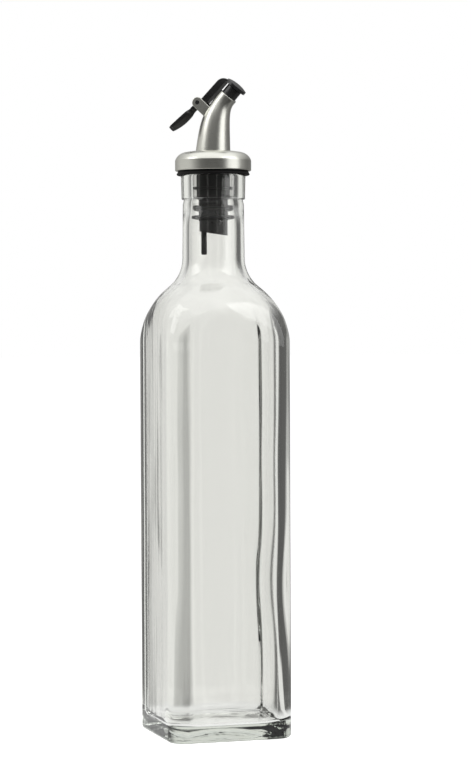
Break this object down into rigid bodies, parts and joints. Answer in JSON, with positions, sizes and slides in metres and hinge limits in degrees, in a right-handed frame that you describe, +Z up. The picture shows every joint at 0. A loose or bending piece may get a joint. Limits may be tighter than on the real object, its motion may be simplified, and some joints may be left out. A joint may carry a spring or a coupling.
{
  "type": "oil dispenser bottle",
  "caption": "Square clear glass oil bottle with a round neck, closed by a rubber stopper that holds a satin metal pouring spout with a sprung thumb lever and lid.",
  "frame": {"origin": "centre of the bottle's base, on the surface that it stands on", "axes": "+Z up along the bottle's axis; X and Y square to the flat sides; the spout points to +X, turned 33 degrees towards -Y"},
  "size_m": [0.058, 0.058, 0.2993],
  "materials": {
    "glass": "clear flint glass, smooth, slightly wavy inside",
    "black_rubber": "soft black rubber, dull",
    "satin_metal": "satin silver plating, finely brushed",
    "black_plastic": "moulded black plastic, half gloss"
  },
  "bodies": {
    "bottle_body": {"bottle": "glass", "stopper": "black_rubber", "pourer_shell": "satin_metal", "nozzle": "black_plastic", "inlet_tube": "black_plastic", "vent_tube": "black_plastic"},
    "lever_body": {"lever": "black_plastic"}
  },
  "joints": [
    {"name": "lever_hinge", "type": "hinge", "parent": "bottle_body", "child": "lever_body", "pos_m": [-0.00528, 0.00343, 0.2885], "axis": [-0.5446, -0.8387, 0], "range_deg": [0, 30], "stiffness_Nm_per_rad": 0.01, "springref_deg": -22.92}
  ]
}
